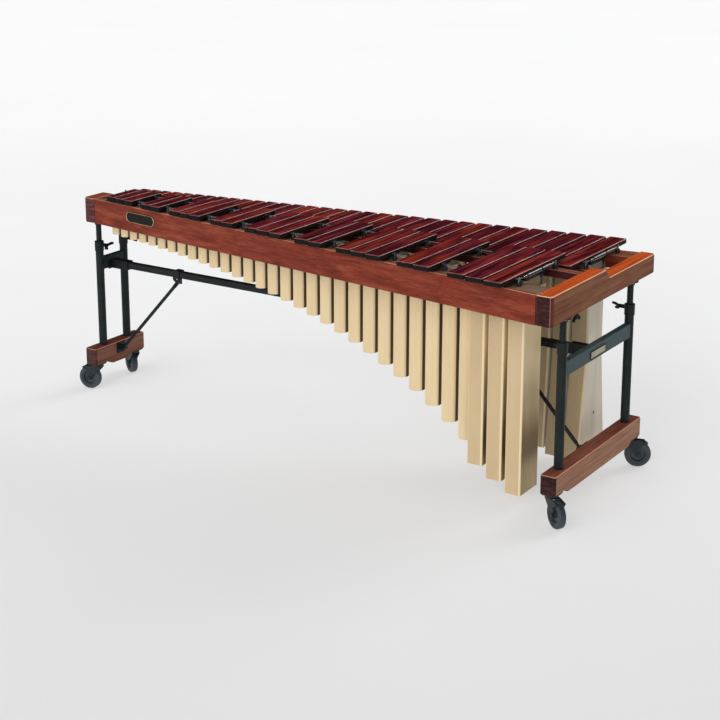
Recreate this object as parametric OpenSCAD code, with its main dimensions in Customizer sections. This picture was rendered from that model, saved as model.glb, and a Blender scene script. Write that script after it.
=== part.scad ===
// Concert marimba of four and a half octaves on a height-adjustable rolling stand.
// X runs along the keyboard from the treble end (-X) to the bass end (+X).
// Y runs from the audience side (-Y) to the player's side (+Y). Z is up and the floor is Z = 0.

/* [Keyboard] */
// Slot pitch of the natural bars at the treble end
p_hi = 52; // [50:0.5:53]
// Slot pitch of the natural bars at the bass end
p_lo = 80.85; // [79:0.05:81]
// Gap between neighbouring bars at the treble end
gap_hi = 9; // [9:0.5:11]
// Gap between neighbouring bars at the bass end
gap_lo = 10.5; // [9.5:0.5:13]
// Thickness of the shortest bars
bar_t_hi = 25; // [20:0.5:25]
// Thickness of the longest bars
bar_t = 19.5; // [18:0.5:22]
// Height of the playing face of the naturals
nat_top = 865; // [863:1:868]
// Height of the playing face of the accidentals
acc_top = 900; // [898:1:904]
// Nodal line, as a share of the bar length from each end
node_f = 0.224; // [0.215:0.001:0.23]
// Diameter of the suspension cord
cord_d = 4; // [3:0.1:4.2]

/* [Frame] */
// Length over the two end blocks
frame_l = 2408; // [2400:1:2420]
// Thickness of an end block
block_t = 62; // [58:1:64]
// Underside of the end blocks
block_z = 761; // [758:1:764]
// Top of the audience-side half of an end block
block_top_a = 871; // [869:1:873]
// Top of the player-side half of an end block
block_top_n = 836; // [834:1:838]
// Radius of the outer corners of the end blocks
block_r = 19; // [10:1:24]
// Half width of the treble end block
half_hi = 133; // [131:1:135]
// Half width of the bass end block
half_lo = 441; // [438:1:444]
// Thickness of the long boards
board_t = 22; // [18:1:24]

/* [Resonators] */
// Outer diameter of the tubes at the treble end
tube_hi = 39; // [36:0.5:42]
// Outer diameter of the tubes at the bass end
tube_lo = 70; // [62:0.5:72]
// Wall of the tubes and boxes
tube_wall = 2; // [1.5:0.1:2.5]
// Depth of the straight bass boxes under the accidentals
box_depth = 137; // [120:1:140]
// Depth of the flared bass boxes at their mouth
flare_depth = 126; // [110:1:130]

/* [Stand] */
// Distance of the treble legs from the middle plane
leg_hi = 78; // [74:1:80]
// Distance of the bass legs from the middle plane
leg_lo = 285; // [280:1:290]
// Outer diameter of the lower leg tubes
leg_d = 35; // [33:0.5:36]
// Outer diameter of the sliding upper leg tubes
inner_d = 24; // [22:0.5:25]
// Half length of the treble foot
foot_hi = 163; // [160:1:166]
// Half length of the bass foot
foot_lo = 371; // [368:1:374]
// Top of the feet
foot_top = 196; // [194:1:198]
// Middle height of the long stretcher
stretcher_z = 556; // [550:1:560]

/* [Casters] */
// Wheel diameter
wheel_d = 102; // [98:1:102]
// Distance of the wheel axle behind the swivel axis
trail = 37; // [34:0.5:40]
// Width of the tyre
tyre_w = 26; // [22:1:27]
// Heading of the treble audience-side caster
head_lf = 192; // [0:1:359]
// Heading of the treble player-side caster
head_lr = 152; // [0:1:359]
// Heading of the bass audience-side caster
head_rf = 325; // [0:1:359]
// Heading of the bass player-side caster
head_rr = 32; // [0:1:359]

/* [Hidden] */
$fn = 48;
x_out = frame_l/2;
x_in = x_out - block_t;
x_leg = x_out - block_t/2;

// straight line along the keyboard: value a at the treble block, b at the bass block
function yl(a, b, x) = a + (b - a)*(x + x_in)/(2*x_in);
function slant(a, b) = atan((b - a)/(2*x_in));

// keyboard: natural i counts down from the top note, i = 0 .. 32
slots_x0 = -1125.5;
function pitch(i) = p_hi + (p_lo - p_hi)*i/32;
function slot_x(i) = slots_x0 + i*p_hi + (p_lo - p_hi)/32*i*(i - 1)/2;
function gap(i) = gap_hi + (gap_lo - gap_hi)*i/32;
function nat_w(i) = pitch(i) - gap(i);
function nat_x(i) = slot_x(i) + pitch(i)/2;
function acc_x(i) = slot_x(i + 1);
function acc_w(i) = (nat_w(i) + nat_w(min(i + 1, 32)))/2;
function has_acc(i) = i >= 0 && i <= 31 && i % 7 != 0 && i % 7 != 4;

// lines of the bar ends, [at treble block, at bass block]
an_f = [-143.7, -488.6];   // audience ends of the accidentals
an_r = [14.8, 37.6];       // inner ends of the accidentals
nn_f = [-5, -13.3];        // inner ends of the naturals
nn_r = [161.6, 505.5];     // player ends of the naturals
function mixl(a, b, t) = [a[0] + (b[0] - a[0])*t, a[1] + (b[1] - a[1])*t];
// nodal lines
ca_f = mixl(an_f, an_r, node_f);
ca_r = mixl(an_f, an_r, 1 - node_f);
cn_f = mixl(nn_f, nn_r, node_f);
cn_r = mixl(nn_f, nn_r, 1 - node_f);
// middle lines of the two resonator banks
mid_a = mixl(ca_f, ca_r, 0.5);
mid_n = mixl(cn_f, cn_r, 0.5);
function at(l, x) = yl(l[0], l[1], x);

cz_a = acc_top - bar_t/2;   // cord heights
cz_n = nat_top - bar_t/2;
rail_a = 866;               // tops of the cord rails
rail_n = 831;
rail_h = 28;
mouth_a = acc_top - bar_t - 20;   // resonator mouths
mouth_n = nat_top - bar_t - 20;
mouth_box_a = acc_top - bar_t - 6;   // mouths of the bass boxes, close under their bars
mouth_box_n = nat_top - bar_t - 6;
strip_a = 800;              // undersides of the resonator carrier strips
strip_n = 768;
strip_h = 25;
strip_t = 3;
function tube_d(x) = yl(tube_hi, tube_lo, x);
// visible length rule of the tube row: an octave-like curve
function tube_len(i) = 116 + 31.6*pow(2, i/6.81);
acc_box_z = [132, 89, 50];
nat_box_z = [75, 58, 45];
nat_box_flare = [88, 101, 114];
box_gap = 13.5;
function acc_box_y() = at(mid_a, acc_x(30));
function nat_box_y() = at(mid_n, nat_x(31));

// musical pitch, for the tuning stoppers
nat_step = [0, 1, 3, 5, 7, 8, 10];
function nat_midi(i) = 96 - 12*floor(i/7) - nat_step[i % 7];
function quarter_wave(m) = 343000/(4*440*pow(2, (m - 69)/12));

// stand
wheel_r = wheel_d/2;
foot_end_z = 120;
foot_mid_z = 105;
fork_z = wheel_d + 2;
leg_top = 640;
collar_z = 654;
beam_h = 54; beam_t = 25; beam_z = 567;
str_h = 28;
brace_x = 793;
brace_px = x_in - 20;
brace_pz = 168;
brace_tz = 524;
brace_l = sqrt(pow(brace_px - brace_x, 2) + pow(brace_tz - brace_pz, 2));
brace_a = atan((brace_tz - brace_pz)/(brace_px - brace_x));
sw_hi = foot_hi - 41;
sw_lo = foot_lo - 41;
swivels = [[-x_leg, -sw_hi, head_lf], [-x_leg, sw_hi, head_lr], [x_leg, -sw_lo, head_rf], [x_leg, sw_lo, head_rr]];
legs = [[-x_leg, -leg_hi], [-x_leg, leg_hi], [x_leg, -leg_lo], [x_leg, leg_lo]];

wood_red = [0.45, 0.20, 0.13];
wood_tan = [0.58, 0.38, 0.27];
rosewood = [0.36, 0.11, 0.12];
champagne = [0.80, 0.72, 0.56];
black = [0.10, 0.12, 0.13];
steel = [0.62, 0.65, 0.70];
rubber = [0.16, 0.18, 0.20];
brass = [0.72, 0.60, 0.36];

// ---------- shared shapes ----------

// rod of radius r along a keyboard line l from x1 to x2 at height z
module rod_on(l, x1, x2, z, r) {
  s = slant(l[0], l[1]);
  translate([x1, at(l, x1), z]) rotate([0, 0, s]) rotate([0, 90, 0])
    cylinder(r = r, h = (x2 - x1)/cos(s));
}

// tapered plank between two keyboard lines
module plank(l1, l2, z0, h) {
  translate([0, 0, z0]) linear_extrude(h)
    polygon([[-x_in, l1[0]], [x_in, l1[1]], [x_in, l2[1]], [-x_in, l2[0]]]);
}

// thin carrier strip between x1 and x2; off is the signed distance from line l
module strip2d(l, x1, x2, o1, o2, t) {
  polygon([[x1, at(l, x1) + o1], [x2, at(l, x2) + o2], [x2, at(l, x2) + o2 + t], [x1, at(l, x1) + o1 + t]]);
}

// rectangle with round corners, lower left corner at the origin
module rrect(w, l, r) {
  translate([r, 0]) square([w - 2*r, l]);
  translate([0, r]) square([w, l - 2*r]);
  for (x = [r, w - r], y = [r, l - r]) translate([x, y]) circle(r);
}

// ---------- end blocks, boards and rails ----------

// block with the low, player-side half reached by a smooth step at the middle
module end_block(x, half) {
  intersection() {
    translate([x - block_t/2, 0, 0]) rotate([90, 0, 90]) linear_extrude(block_t)
      polygon(concat([[-half, block_z], [half, block_z], [half, block_top_n]],
        [for (k = [0 : 12]) let (t = k/12)
          [30 - 44*t, block_top_n + (block_top_a - block_top_n)*(1 - cos(180*t))/2]],
        [[-half, block_top_a]]));
    translate([x, 0, block_z - 1]) mirror([x > 0 ? 0 : 1, 0, 0]) linear_extrude(block_top_a - block_z + 2) {
      translate([-block_t/2, -half]) square([block_t - block_r, 2*half]);
      translate([-block_t/2, -half + block_r]) square([block_t, 2*half - 2*block_r]);
      for (y = [-half + block_r, half - block_r]) translate([block_t/2 - block_r, y]) circle(block_r);
    }
  }
}
module treble_end_block() color(wood_red) end_block(-x_leg, half_hi);
module bass_end_block() color(wood_red) end_block(x_leg, half_lo);

face_f = [-half_hi, -half_lo];
face_r = [half_hi, half_lo];
inner_f = [-half_hi + board_t*1.01, -half_lo + board_t*1.01];
module front_board() color(wood_red) plank(face_f, inner_f, block_z, block_top_a - block_z);
module accidental_outer_rail() color(wood_tan) plank(inner_f, [-90, -318], rail_a - rail_h, rail_h);
module accidental_inner_rail() color(wood_red)
  plank([ca_r[0] - 11, ca_r[1] - 20], [ca_r[0] + 10, ca_r[1] + 20], rail_a - rail_h, rail_h);
module natural_inner_rail() color(wood_red)
  plank([cn_f[0] - 11, cn_f[1] - 20], [cn_f[0] + 11, cn_f[1] + 20], rail_n - rail_h, rail_h);
module natural_outer_rail() color(wood_red) union() {
  plank([108, 345], face_r, rail_n - rail_h, rail_h);
  plank([half_hi - board_t*1.01, half_lo - board_t*1.01], face_r, block_z, rail_n - block_z);
}

// ---------- bars ----------

// one bar with its undercut arch and the two cord holes on the nodal lines
module bar(x, w, lf, lr, cf, cr, top, share) {
  y0 = at(lf, x); y1 = at(lr, x); len = y1 - y0;
  chord = 0.5*len;
  depth = 2.5 + 9*share;
  rad = (chord*chord/4 + depth*depth)/(2*depth);
  t = bar_t_hi + (bar_t - bar_t_hi)*share;
  zb = top - t;
  difference() {
    translate([x - w/2, y0, zb]) cube([w, len, t]);
    translate([x - w, (y0 + y1)/2, zb + depth - rad]) rotate([0, 90, 0]) cylinder(r = rad, h = 2*w, $fn = 96);
    rod_on(cf, x - w, x + w, top - bar_t/2, cord_d/2 + 0.5);
    rod_on(cr, x - w, x + w, top - bar_t/2, cord_d/2 + 0.5);
  }
}
module accidental_bars() color(rosewood)
  for (i = [1 : 31]) if (has_acc(i))
    bar(acc_x(i), acc_w(i), an_f, an_r, ca_f, ca_r, acc_top, i/32);
module natural_bars() color(rosewood)
  for (i = [0 : 32]) bar(nat_x(i), nat_w(i), nn_f, nn_r, cn_f, cn_r, nat_top, i/32);

// ---------- suspension ----------

end_a = [acc_x(1) - acc_w(1)/2 - 14, acc_x(31) + acc_w(31)/2 + 14];
end_n = [slot_x(0) - 3, slot_x(33) + 6];
// plain posts between neighbouring accidentals
post_a = [for (i = [1 : 31]) if (has_acc(i) && has_acc(i + 1)) (acc_x(i) + acc_x(i + 1))/2];
// sleeved posts beside each group of accidentals
post_g = concat(
  [for (i = [2 : 31]) if (has_acc(i) && !has_acc(i - 1)) acc_x(i) - acc_w(i)/2 - 12.5],
  [for (i = [1 : 30]) if (has_acc(i) && !has_acc(i + 1)) acc_x(i) + acc_w(i)/2 + 12.5]);
post_n = [for (i = [1 : 32]) slot_x(i)];

// closed loop: a run along each nodal line and a cross run at each end
module cords(cf, cr, ends, z) {
  for (l = [cf, cr]) rod_on(l, ends[0] - 1.9, ends[1] + 1.9, z, cord_d/2);
  for (x = ends) translate([x, at(cf, x) - 1.9, z]) rotate([-90, 0, 0])
    cylinder(r = cord_d/2 - 0.15, h = at(cr, x) - at(cf, x) + 3.8);
}
// sleeved tension spring on the cross run beside the lowest bar
module cord_spring(cf, cr, x, z) let (l = at(cr, x) - at(cf, x))
  translate([x, at(cf, x), z]) rotate([-90, 0, 0]) difference() {
    union() {
      translate([0, 0, 0.1*l]) cylinder(d = 11, h = 0.82*l);
      translate([0, 0, 0.2*l]) cylinder(d1 = 11, d2 = 16, h = 3);
      translate([0, 0, 0.2*l + 3]) cylinder(d = 16, h = 0.38*l - 3);
      translate([0, 0, 0.61*l]) cylinder(d = 16, h = 0.24*l - 3);
      translate([0, 0, 0.85*l - 3]) cylinder(d1 = 16, d2 = 11, h = 3);
    }
    cylinder(d = cord_d + 0.6, h = l);
  }
module accidental_cords() color([0.85, 0.82, 0.75]) cords(ca_f, ca_r, end_a, cz_a);
module natural_cords() color([0.85, 0.82, 0.75]) cords(cn_f, cn_r, end_n, cz_n);

// forked post: pin, head and the slot that the cord lies in
module cord_post(l, x, z0, zc) {
  translate([x, at(l, x), 0]) rotate([0, 0, slant(l[0], l[1])]) difference() {
    union() {
      translate([0, 0, z0]) cylinder(d = 5, h = zc - 6 - z0);
      intersection() {
        translate([0, 0, zc - 7]) cylinder(d = 11.5, h = 14);
        translate([-3.4, -8, zc - 8]) cube([6.8, 16, 16]);
      }
    }
    translate([-6, -cord_d/2 - 0.3, zc - cord_d/2 - 0.3]) cube([12, cord_d + 0.6, 12]);
  }
}
// post at a corner of the loop, drilled along both runs; s is the side of the cross run
module end_post(l, x, z0, zc, s) {
  difference() {
    union() {
      translate([x, at(l, x), z0]) cylinder(d = 8, h = zc + 7 - z0);
      translate([x, at(l, x), zc + 7]) cylinder(d1 = 8, d2 = 5, h = 2);
    }
    rod_on(l, x > 0 ? x - 9 : x - 2.2, x > 0 ? x + 2.2 : x + 9, zc, cord_d/2 + 0.2);
    translate([x, at(l, x) - s*2.2, zc]) rotate([-s*90, 0, 0]) cylinder(r = cord_d/2 + 0.1, h = 12);
  }
}
module accidental_cord_posts() color(steel) {
  for (l = [ca_f, ca_r], x = post_a) cord_post(l, x, rail_a, cz_a);
  for (l = [ca_f, ca_r], x = post_g) translate([x, at(l, x), rail_a]) cylinder(d = 5, h = 15);
  for (x = end_a) { end_post(ca_f, x, rail_a, cz_a, 1); end_post(ca_r, x, rail_a, cz_a, -1); }
}
module natural_cord_posts() color(steel) {
  for (l = [cn_f, cn_r], x = post_n) cord_post(l, x, rail_n, cz_n);
  for (x = end_n) { end_post(cn_f, x, rail_n, cz_n, 1); end_post(cn_r, x, rail_n, cz_n, -1); }
}
// rubber rings at the foot of the plain posts
module grommet(l, x, z) translate([x, at(l, x), z]) difference() {
  cylinder(d = 13.6, h = 5);
  translate([0, 0, 4.5]) cylinder(d1 = 11, d2 = 8.4, h = 5);
  translate([0, 0, -1]) cylinder(d = 5.2, h = 12);
}
// moulded sleeve with a forked head, carried by a pin
module fork_sleeve(l, x, zc) translate([x, at(l, x), rail_a]) rotate([0, 0, slant(l[0], l[1])]) difference() {
  union() {
    cylinder(d = 19, h = 17);
    translate([0, 0, 17]) cylinder(d1 = 19, d2 = 14, h = 2.5);
    translate([0, 0, 1]) cylinder(d = 14, h = zc + 7 - rail_a - 1);
  }
  translate([0, 0, -1]) cylinder(d = 5.2, h = 16.2);
  translate([-12, -cord_d/2 - 0.3, zc - rail_a - cord_d/2 - 0.3]) cube([24, cord_d + 0.6, 12]);
}
// plain sleeve around an end post
module end_sleeve(l, x, z, d) translate([x, at(l, x), z]) difference() {
  union() {
    cylinder(d = d, h = 14);
    translate([0, 0, 14]) cylinder(d1 = d, d2 = d - 4, h = 3);
  }
  translate([0, 0, -1]) cylinder(d = 8.2, h = 20);
}
module post_grommets() color(rubber) difference() {
  union() {
    cord_spring(ca_f, ca_r, end_a[1], cz_a);
    cord_spring(cn_f, cn_r, end_n[1], cz_n);
    for (l = [ca_f, ca_r], x = post_a) grommet(l, x, rail_a);
    for (l = [ca_f, ca_r], x = post_g) fork_sleeve(l, x, cz_a);
    for (l = [ca_f, ca_r], x = end_a) end_sleeve(l, x, rail_a, 21);
    for (l = [cn_f, cn_r], x = post_n) grommet(l, x, rail_n);
    for (l = [cn_f, cn_r]) {
      end_sleeve(l, end_n[0], rail_n, 13);
      end_sleeve(l, end_n[1], rail_n, 18);
    }
  }
  // clear of the front board
  plank([face_f[0] - 1, face_f[1] - 1], [inner_f[0] + 0.3, inner_f[1] + 0.3], block_z, block_top_a + 0.3 - block_z);
}

// ---------- resonators ----------

module pipe(x, y, d, z0, z1) translate([x, y, z0]) difference() {
  cylinder(d = d, h = z1 - z0);
  translate([0, 0, -1]) cylinder(d = d - 2*tube_wall, h = z1 - z0 + 2);
}
module accidental_tubes() color(champagne)
  for (i = [0 : 28]) let (x = acc_x(i)) pipe(x, at(mid_a, x), tube_d(x), 860 - tube_len(i), mouth_a);
module natural_tubes() color(champagne)
  for (i = [0 : 29]) let (x = nat_x(i)) pipe(x, at(mid_n, x), tube_d(x), 850 - tube_len(i - 0.5), mouth_n);

// closed-bottom box open at the mouth
module accidental_bass_boxes() color(champagne)
  for (j = [0 : 2]) let (i = 29 + j, w = pitch(i) - box_gap, y = acc_box_y())
    difference() {
      translate([acc_x(i) - w/2, y - box_depth/2, acc_box_z[j]])
        linear_extrude(mouth_box_a - acc_box_z[j]) rrect(w, box_depth, 6);
      translate([acc_x(i) - w/2 + tube_wall, y - box_depth/2 + tube_wall, acc_box_z[j] + 3])
        linear_extrude(mouth_box_a) rrect(w - 2*tube_wall, box_depth - 2*tube_wall, 6 - tube_wall);
    }
// flared outline in the Y-Z plane, drawn inset by e
module flare2d(j, e) {
  d = flare_depth/2 - e; b = nat_box_flare[j] - e; z0 = nat_box_z[j] + (e > 0 ? 3 : 0);
  zt = mouth_box_n + (e > 0 ? 1 : 0);
  polygon([[-b, z0], [b, z0], [d, 470], [d, zt], [-d, zt], [-d, 470]]);
}
module natural_bass_boxes() color(champagne)
  for (j = [0 : 2]) let (i = 30 + j, w = pitch(i) - box_gap)
    translate([nat_x(i) - w/2, nat_box_y(), 0]) rotate([90, 0, 90]) difference() {
      linear_extrude(w) flare2d(j, 0);
      translate([0, 0, tube_wall]) linear_extrude(w - 2*tube_wall) flare2d(j, tube_wall);
    }

// dark edge trim around a box mouth; the last box of each row has a forked hanger strap below it
module mouth_ring(x, y, w, d, z, strap) translate([x, y, z]) {
  difference() {
    translate([-w/2 - 4.4, -d/2 - 4.4, -11]) cube([w + 8.8, d + 8.8, 12.5]);
    translate([-w/2 - 0.05, -d/2 - 0.05, -12]) cube([w + 0.1, d + 0.1, 12]);
    translate([-w/2 + tube_wall + 1, -d/2 + tube_wall + 1, -2]) cube([w - 2*tube_wall - 2, d - 2*tube_wall - 2, 6]);
  }
  if (strap) translate([w/2 + 0.05, d/2 - 16, 0]) rotate([90, 0, 90]) linear_extrude(3)
    polygon([[-3.5, -46], [3.5, -46], [4, -28], [13, -11], [6, -11], [0, -21], [-6, -11], [-13, -11], [-4, -28]]);
}
module box_mouth_trim() color(black) for (j = [0 : 2]) {
  mouth_ring(acc_x(29 + j), acc_box_y(), pitch(29 + j) - box_gap, box_depth, mouth_box_a, j == 2);
  mouth_ring(nat_x(30 + j), nat_box_y(), pitch(30 + j) - box_gap, flare_depth, mouth_box_n, j == 2);
}

// tuning discs a quarter wavelength below the mouths
module stopper(x, y, z) translate([x, y, z]) cylinder(d = tube_d(x) - 2*tube_wall - 0.4, h = 4);
module tuning_stoppers() color(steel) {
  for (i = [1 : 28]) if (has_acc(i)) let (x = acc_x(i))
    stopper(x, at(mid_a, x), max(mouth_a - quarter_wave(nat_midi(i) - 1) + 0.3*tube_d(x), 860 - tube_len(i) + 4));
  for (i = [0 : 29]) let (x = nat_x(i))
    stopper(x, at(mid_n, x), max(mouth_n - quarter_wave(nat_midi(i)) + 0.3*tube_d(x), 850 - tube_len(i - 0.5) + 4));
}

// ladder of strips that the tubes and boxes are riveted to, with a tongue at each end
module bank_frame(l, xa, xj, xb, yb, depth, z) {
  ra = tube_d(xa)/2 - 0.3; rj = tube_d(xj)/2 - 0.3; db = depth/2 - 0.3;
  translate([0, 0, z]) linear_extrude(strip_h) {
    strip2d(l, xa, xj, -ra - strip_t, -rj - strip_t, strip_t);
    strip2d(l, xa, xj, ra, rj, strip_t);
    translate([xa - strip_t, at(l, xa) - ra - strip_t]) square([strip_t + 0.5, 2*ra + 2*strip_t]);
    translate([xj - strip_t/2, yb - db - strip_t]) square([strip_t, 2*db + 2*strip_t]);
    translate([xj, yb - db - strip_t]) square([xb - xj, strip_t]);
    translate([xj, yb + db]) square([xb - xj, strip_t]);
    translate([xb - 0.5, yb - db - strip_t]) square([strip_t, 2*db + 2*strip_t]);
    translate([-x_in + 1, at(l, xa) - 14]) square([xa + x_in - 1, 28]);
    translate([xb, yb - 17]) square([x_in - 1 - xb, 34]);
  }
}
bank_a = [acc_x(0) - 27, acc_x(28) + pitch(28)/2 + 1, acc_x(31) + pitch(31)/2 + 1];
bank_n = [nat_x(0) - 26, nat_x(29) + pitch(29)/2 + 1, nat_x(32) + pitch(32)/2 + 1];
module accidental_bank_frame() color(champagne)
  bank_frame(mid_a, bank_a[0], bank_a[1], bank_a[2], acc_box_y(), box_depth, strip_a);
module natural_bank_frame() color(champagne)
  bank_frame(mid_n, bank_n[0], bank_n[1], bank_n[2], nat_box_y(), flare_depth, strip_n);

// angle brackets on the end blocks that carry the tongues
module bank_bracket(s, y, z) {
  x = s*x_in;
  translate([s > 0 ? x - 4 : x, y - 22, z - 4]) cube([4, 44, 30]);
  translate([s > 0 ? x - 12 : x, y - 22, z - 4]) cube([12, 44, 4]);
}
// wing bolt through the bass block that holds the accidental bank down
module bank_bolt(y) translate([x_leg, y, block_z]) {
  translate([0, 0, -28]) cylinder(d = 8, h = 28);
  translate([0, 0, -4]) cylinder(d = 20, h = 4);
  translate([-3, 0, -28]) rotate([90, 0, 90]) linear_extrude(6)
    polygon([[-7, -7], [7, -7], [20, -15], [27, -14], [27, -7], [12, 7], [-12, 7], [-27, -7], [-27, -14], [-20, -15]]);
}
module bank_brackets() color(black) difference() {
  union() {
    bank_bolt(acc_box_y() + 29);
    bank_bracket(-1, at(mid_a, bank_a[0]), strip_a);
    bank_bracket(-1, at(mid_n, bank_n[0]), strip_n);
    bank_bracket(1, acc_box_y(), strip_a);
    bank_bracket(1, nat_box_y(), strip_n);
  }
  // room for the tongues
  translate([-x_in + 0.6, at(mid_a, bank_a[0]) - 14.5, strip_a]) cube([5, 29, 40]);
  translate([-x_in + 0.6, at(mid_n, bank_n[0]) - 14.5, strip_n]) cube([5, 29, 40]);
  translate([x_in - 5.6, acc_box_y() - 17.5, strip_a]) cube([5, 35, 40]);
  translate([x_in - 5.6, nat_box_y() - 17.5, strip_n]) cube([5, 35, 40]);
}

// ---------- upper legs and badge ----------

module upper_leg_tubes() color(black)
  for (p = legs) translate([p[0], p[1], 470]) difference() {
    cylinder(d = inner_d, h = block_z - 6 - 470);
    translate([0, 0, -1]) cylinder(d = inner_d - 4, h = block_z - 6 - 470 - 6);
  }
module leg_flanges() color(black)
  for (p = legs) translate([p[0], p[1], block_z - 6]) difference() {
    union() {
      cylinder(d = 58, h = 6);
      translate([0, 0, -12]) difference() { cylinder(d = inner_d + 8, h = 13); translate([0, 0, -1]) cylinder(d = inner_d + 0.1, h = 13); }
    }
    for (a = [45 : 90 : 315]) rotate([0, 0, a]) translate([22, 0, -1]) cylinder(d = 5, h = 8);
  }
module flange_screws() color(steel)
  for (p = legs, a = [45 : 90 : 315]) translate([p[0], p[1], block_z]) rotate([0, 0, a]) translate([22, 0, 0]) {
    translate([0, 0, -9]) cylinder(d = 8, h = 3);
    translate([0, 0, -6]) cylinder(d = 4.8, h = 6);
  }
// bare oval plate on the face of the front board
badge_x = -848;
module front_badge() color([0.16, 0.12, 0.08])
  translate([badge_x, at(face_f, badge_x), 826]) rotate([0, 0, slant(face_f[0], face_f[1])]) rotate([90, 0, 0])
    linear_extrude(2.4) union() { square([130, 46], center = true); for (s = [-1, 1]) translate([s*65, 0]) circle(d = 46); }

// ---------- stand ----------

module lower_leg_tubes() color(black)
  for (p = legs) translate([p[0], p[1], foot_top]) difference() {
    cylinder(d = leg_d, h = leg_top - foot_top);
    translate([0, 0, 4]) cylinder(d = leg_d - 4, h = leg_top - foot_top);
  }
// clamp collar on the rim of each lower tube, with a boss for its wing screw
module leg_collars() color(black)
  for (p = legs) let (s = p[0] > 0 ? -1 : 1) translate([p[0], p[1], 0]) difference() {
    union() {
      translate([0, 0, leg_top - 14]) cylinder(d = leg_d + 5, h = 42);
      translate([0, 0, collar_z]) rotate([0, s*90, 0]) cylinder(d = 16, h = 30);
    }
    translate([0, 0, leg_top - 20]) cylinder(d = leg_d + 0.2, h = 20);
    translate([0, 0, leg_top - 1]) cylinder(d = inner_d + 0.6, h = 60);
    translate([0, 0, collar_z]) rotate([0, s*90, 0]) cylinder(d = 8, h = 40);
  }
// wing screw along X: shank, hub and two raked wings, standing at its own angle
module wing_screw(p, turn) let (s = p[0] > 0 ? -1 : 1)
  translate([p[0], p[1], collar_z]) rotate([0, 0, s > 0 ? 0 : 180]) rotate([turn, 0, 0]) {
    translate([inner_d/2 + 0.5, 0, 0]) rotate([0, 90, 0]) cylinder(d = 7.84, h = 24);
    translate([30.6, 0, 0]) rotate([0, 90, 0]) cylinder(d = 15, h = 14);
    translate([0, 0, -3]) linear_extrude(6)
      polygon([[33, -6], [33, 6], [44, 12], [49, 22], [57, 26], [65, 24], [66, 17], [58, 12], [53, 4],
        [53, -4], [58, -12], [66, -17], [65, -24], [57, -26], [49, -22], [44, -12]]);
  }
module wing_screw_lf() color(black) wing_screw(legs[0], 25);
module wing_screw_lr() color(black) wing_screw(legs[1], -35);
module wing_screw_rf() color(black) wing_screw(legs[2], 10);
module wing_screw_rr() color(black) wing_screw(legs[3], 40);

module crossbeam(x, y) difference() {
  translate([x - beam_t/2, -y, beam_z - beam_h/2]) cube([beam_t, 2*y, beam_h]);
  for (s = [-1, 1]) translate([x, s*y, beam_z - beam_h]) cylinder(d = leg_d + 0.1, h = 2*beam_h);
}
module treble_crossbeam() color(black) crossbeam(-x_leg, leg_hi);
module bass_crossbeam() color(black) crossbeam(x_leg, leg_lo);
module crossbeam_plate() color(brass)
  translate([x_leg + beam_t/2, -14, beam_z - 5]) rotate([90, 0, 90]) linear_extrude(2) translate([-62, -12]) rrect(124, 24, 4);

str_l = 2*(x_leg - beam_t/2);
module stretcher() color(black) difference() {
  translate([-str_l/2, -str_h/2, stretcher_z - str_h/2]) cube([str_l, str_h, str_h]);
  translate([-str_l/2 + 3, -str_h/2 + 3, stretcher_z - str_h/2 + 3]) cube([str_l - 6, str_h - 6, str_h - 6]);
}
// saddle with a lug and a slotted-brace bolt, and the cranked end hooks
module stretcher_fittings() color(black) for (s = [0, 1]) mirror([s, 0, 0]) {
  difference() {
    union() {
      translate([brace_x - 16, -str_h/2 - 4, stretcher_z - str_h/2 - 4]) cube([32, str_h + 8, str_h + 8]);
      translate([brace_x - 11, 4, brace_tz - 12]) cube([22, 5, stretcher_z - str_h/2 - 2 - brace_tz + 12]);
    }
    translate([brace_x - 20, -str_h/2, stretcher_z - str_h/2]) cube([40, str_h, str_h]);
  }
  translate([brace_x, 11, brace_tz]) rotate([90, 0, 0]) cylinder(d = 8, h = 28);
  translate([brace_x, -4, brace_tz]) rotate([90, 0, 0]) cylinder(d = 18, h = 4.6);
  // wing nut
  translate([brace_x, -8, brace_tz]) rotate([90, 0, 0]) linear_extrude(6)
    polygon([[-7, -5], [7, -5], [22, 8], [22, 17], [14, 17], [5, 7], [-5, 7], [-14, 17], [-22, 17], [-22, 8]]);
  // end bracket: trough around the stretcher, a flange against the cross-beam and a hook
  difference() {
    union() {
      translate([str_l/2 - 92, -str_h/2 - 5, stretcher_z - str_h/2 - 6]) cube([92, str_h + 10, str_h + 10]);
      translate([str_l/2 - 6, -40, stretcher_z - str_h/2 - 6]) cube([6, 80, str_h + 4]);
      translate([str_l/2 - 60, -4, stretcher_z - str_h/2 - 34]) cube([8, 8, 30]);
      translate([str_l/2 - 74, -4, stretcher_z - str_h/2 - 34]) cube([22, 8, 8]);
    }
    translate([str_l/2 - 95, -str_h/2, stretcher_z - str_h/2]) cube([98, str_h, str_h + 10]);
  }
}

// foot beam: level ends over the casters and a deeper middle
module foot(x, half) intersection() {
  translate([x - block_t/2, 0, 0]) rotate([90, 0, 90]) linear_extrude(block_t)
    polygon(concat(
      [for (k = [0 : 10]) let (t = k/10) [-half + 76 + 42*t, foot_end_z - (foot_end_z - foot_mid_z)*(1 - cos(180*t))/2]],
      [for (k = [0 : 10]) let (t = 1 - k/10) [half - 76 - 42*t, foot_end_z - (foot_end_z - foot_mid_z)*(1 - cos(180*t))/2]],
      [[half, foot_end_z], [half, foot_top], [-half, foot_top], [-half, foot_end_z]]));
  translate([x - block_t/2, -half, foot_mid_z - 1]) linear_extrude(foot_top - foot_mid_z + 2) rrect(block_t, 2*half, 11);
}
module treble_foot() color(wood_tan) foot(-x_leg, foot_hi);
module bass_foot() color(wood_tan) foot(x_leg, foot_lo);

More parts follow.
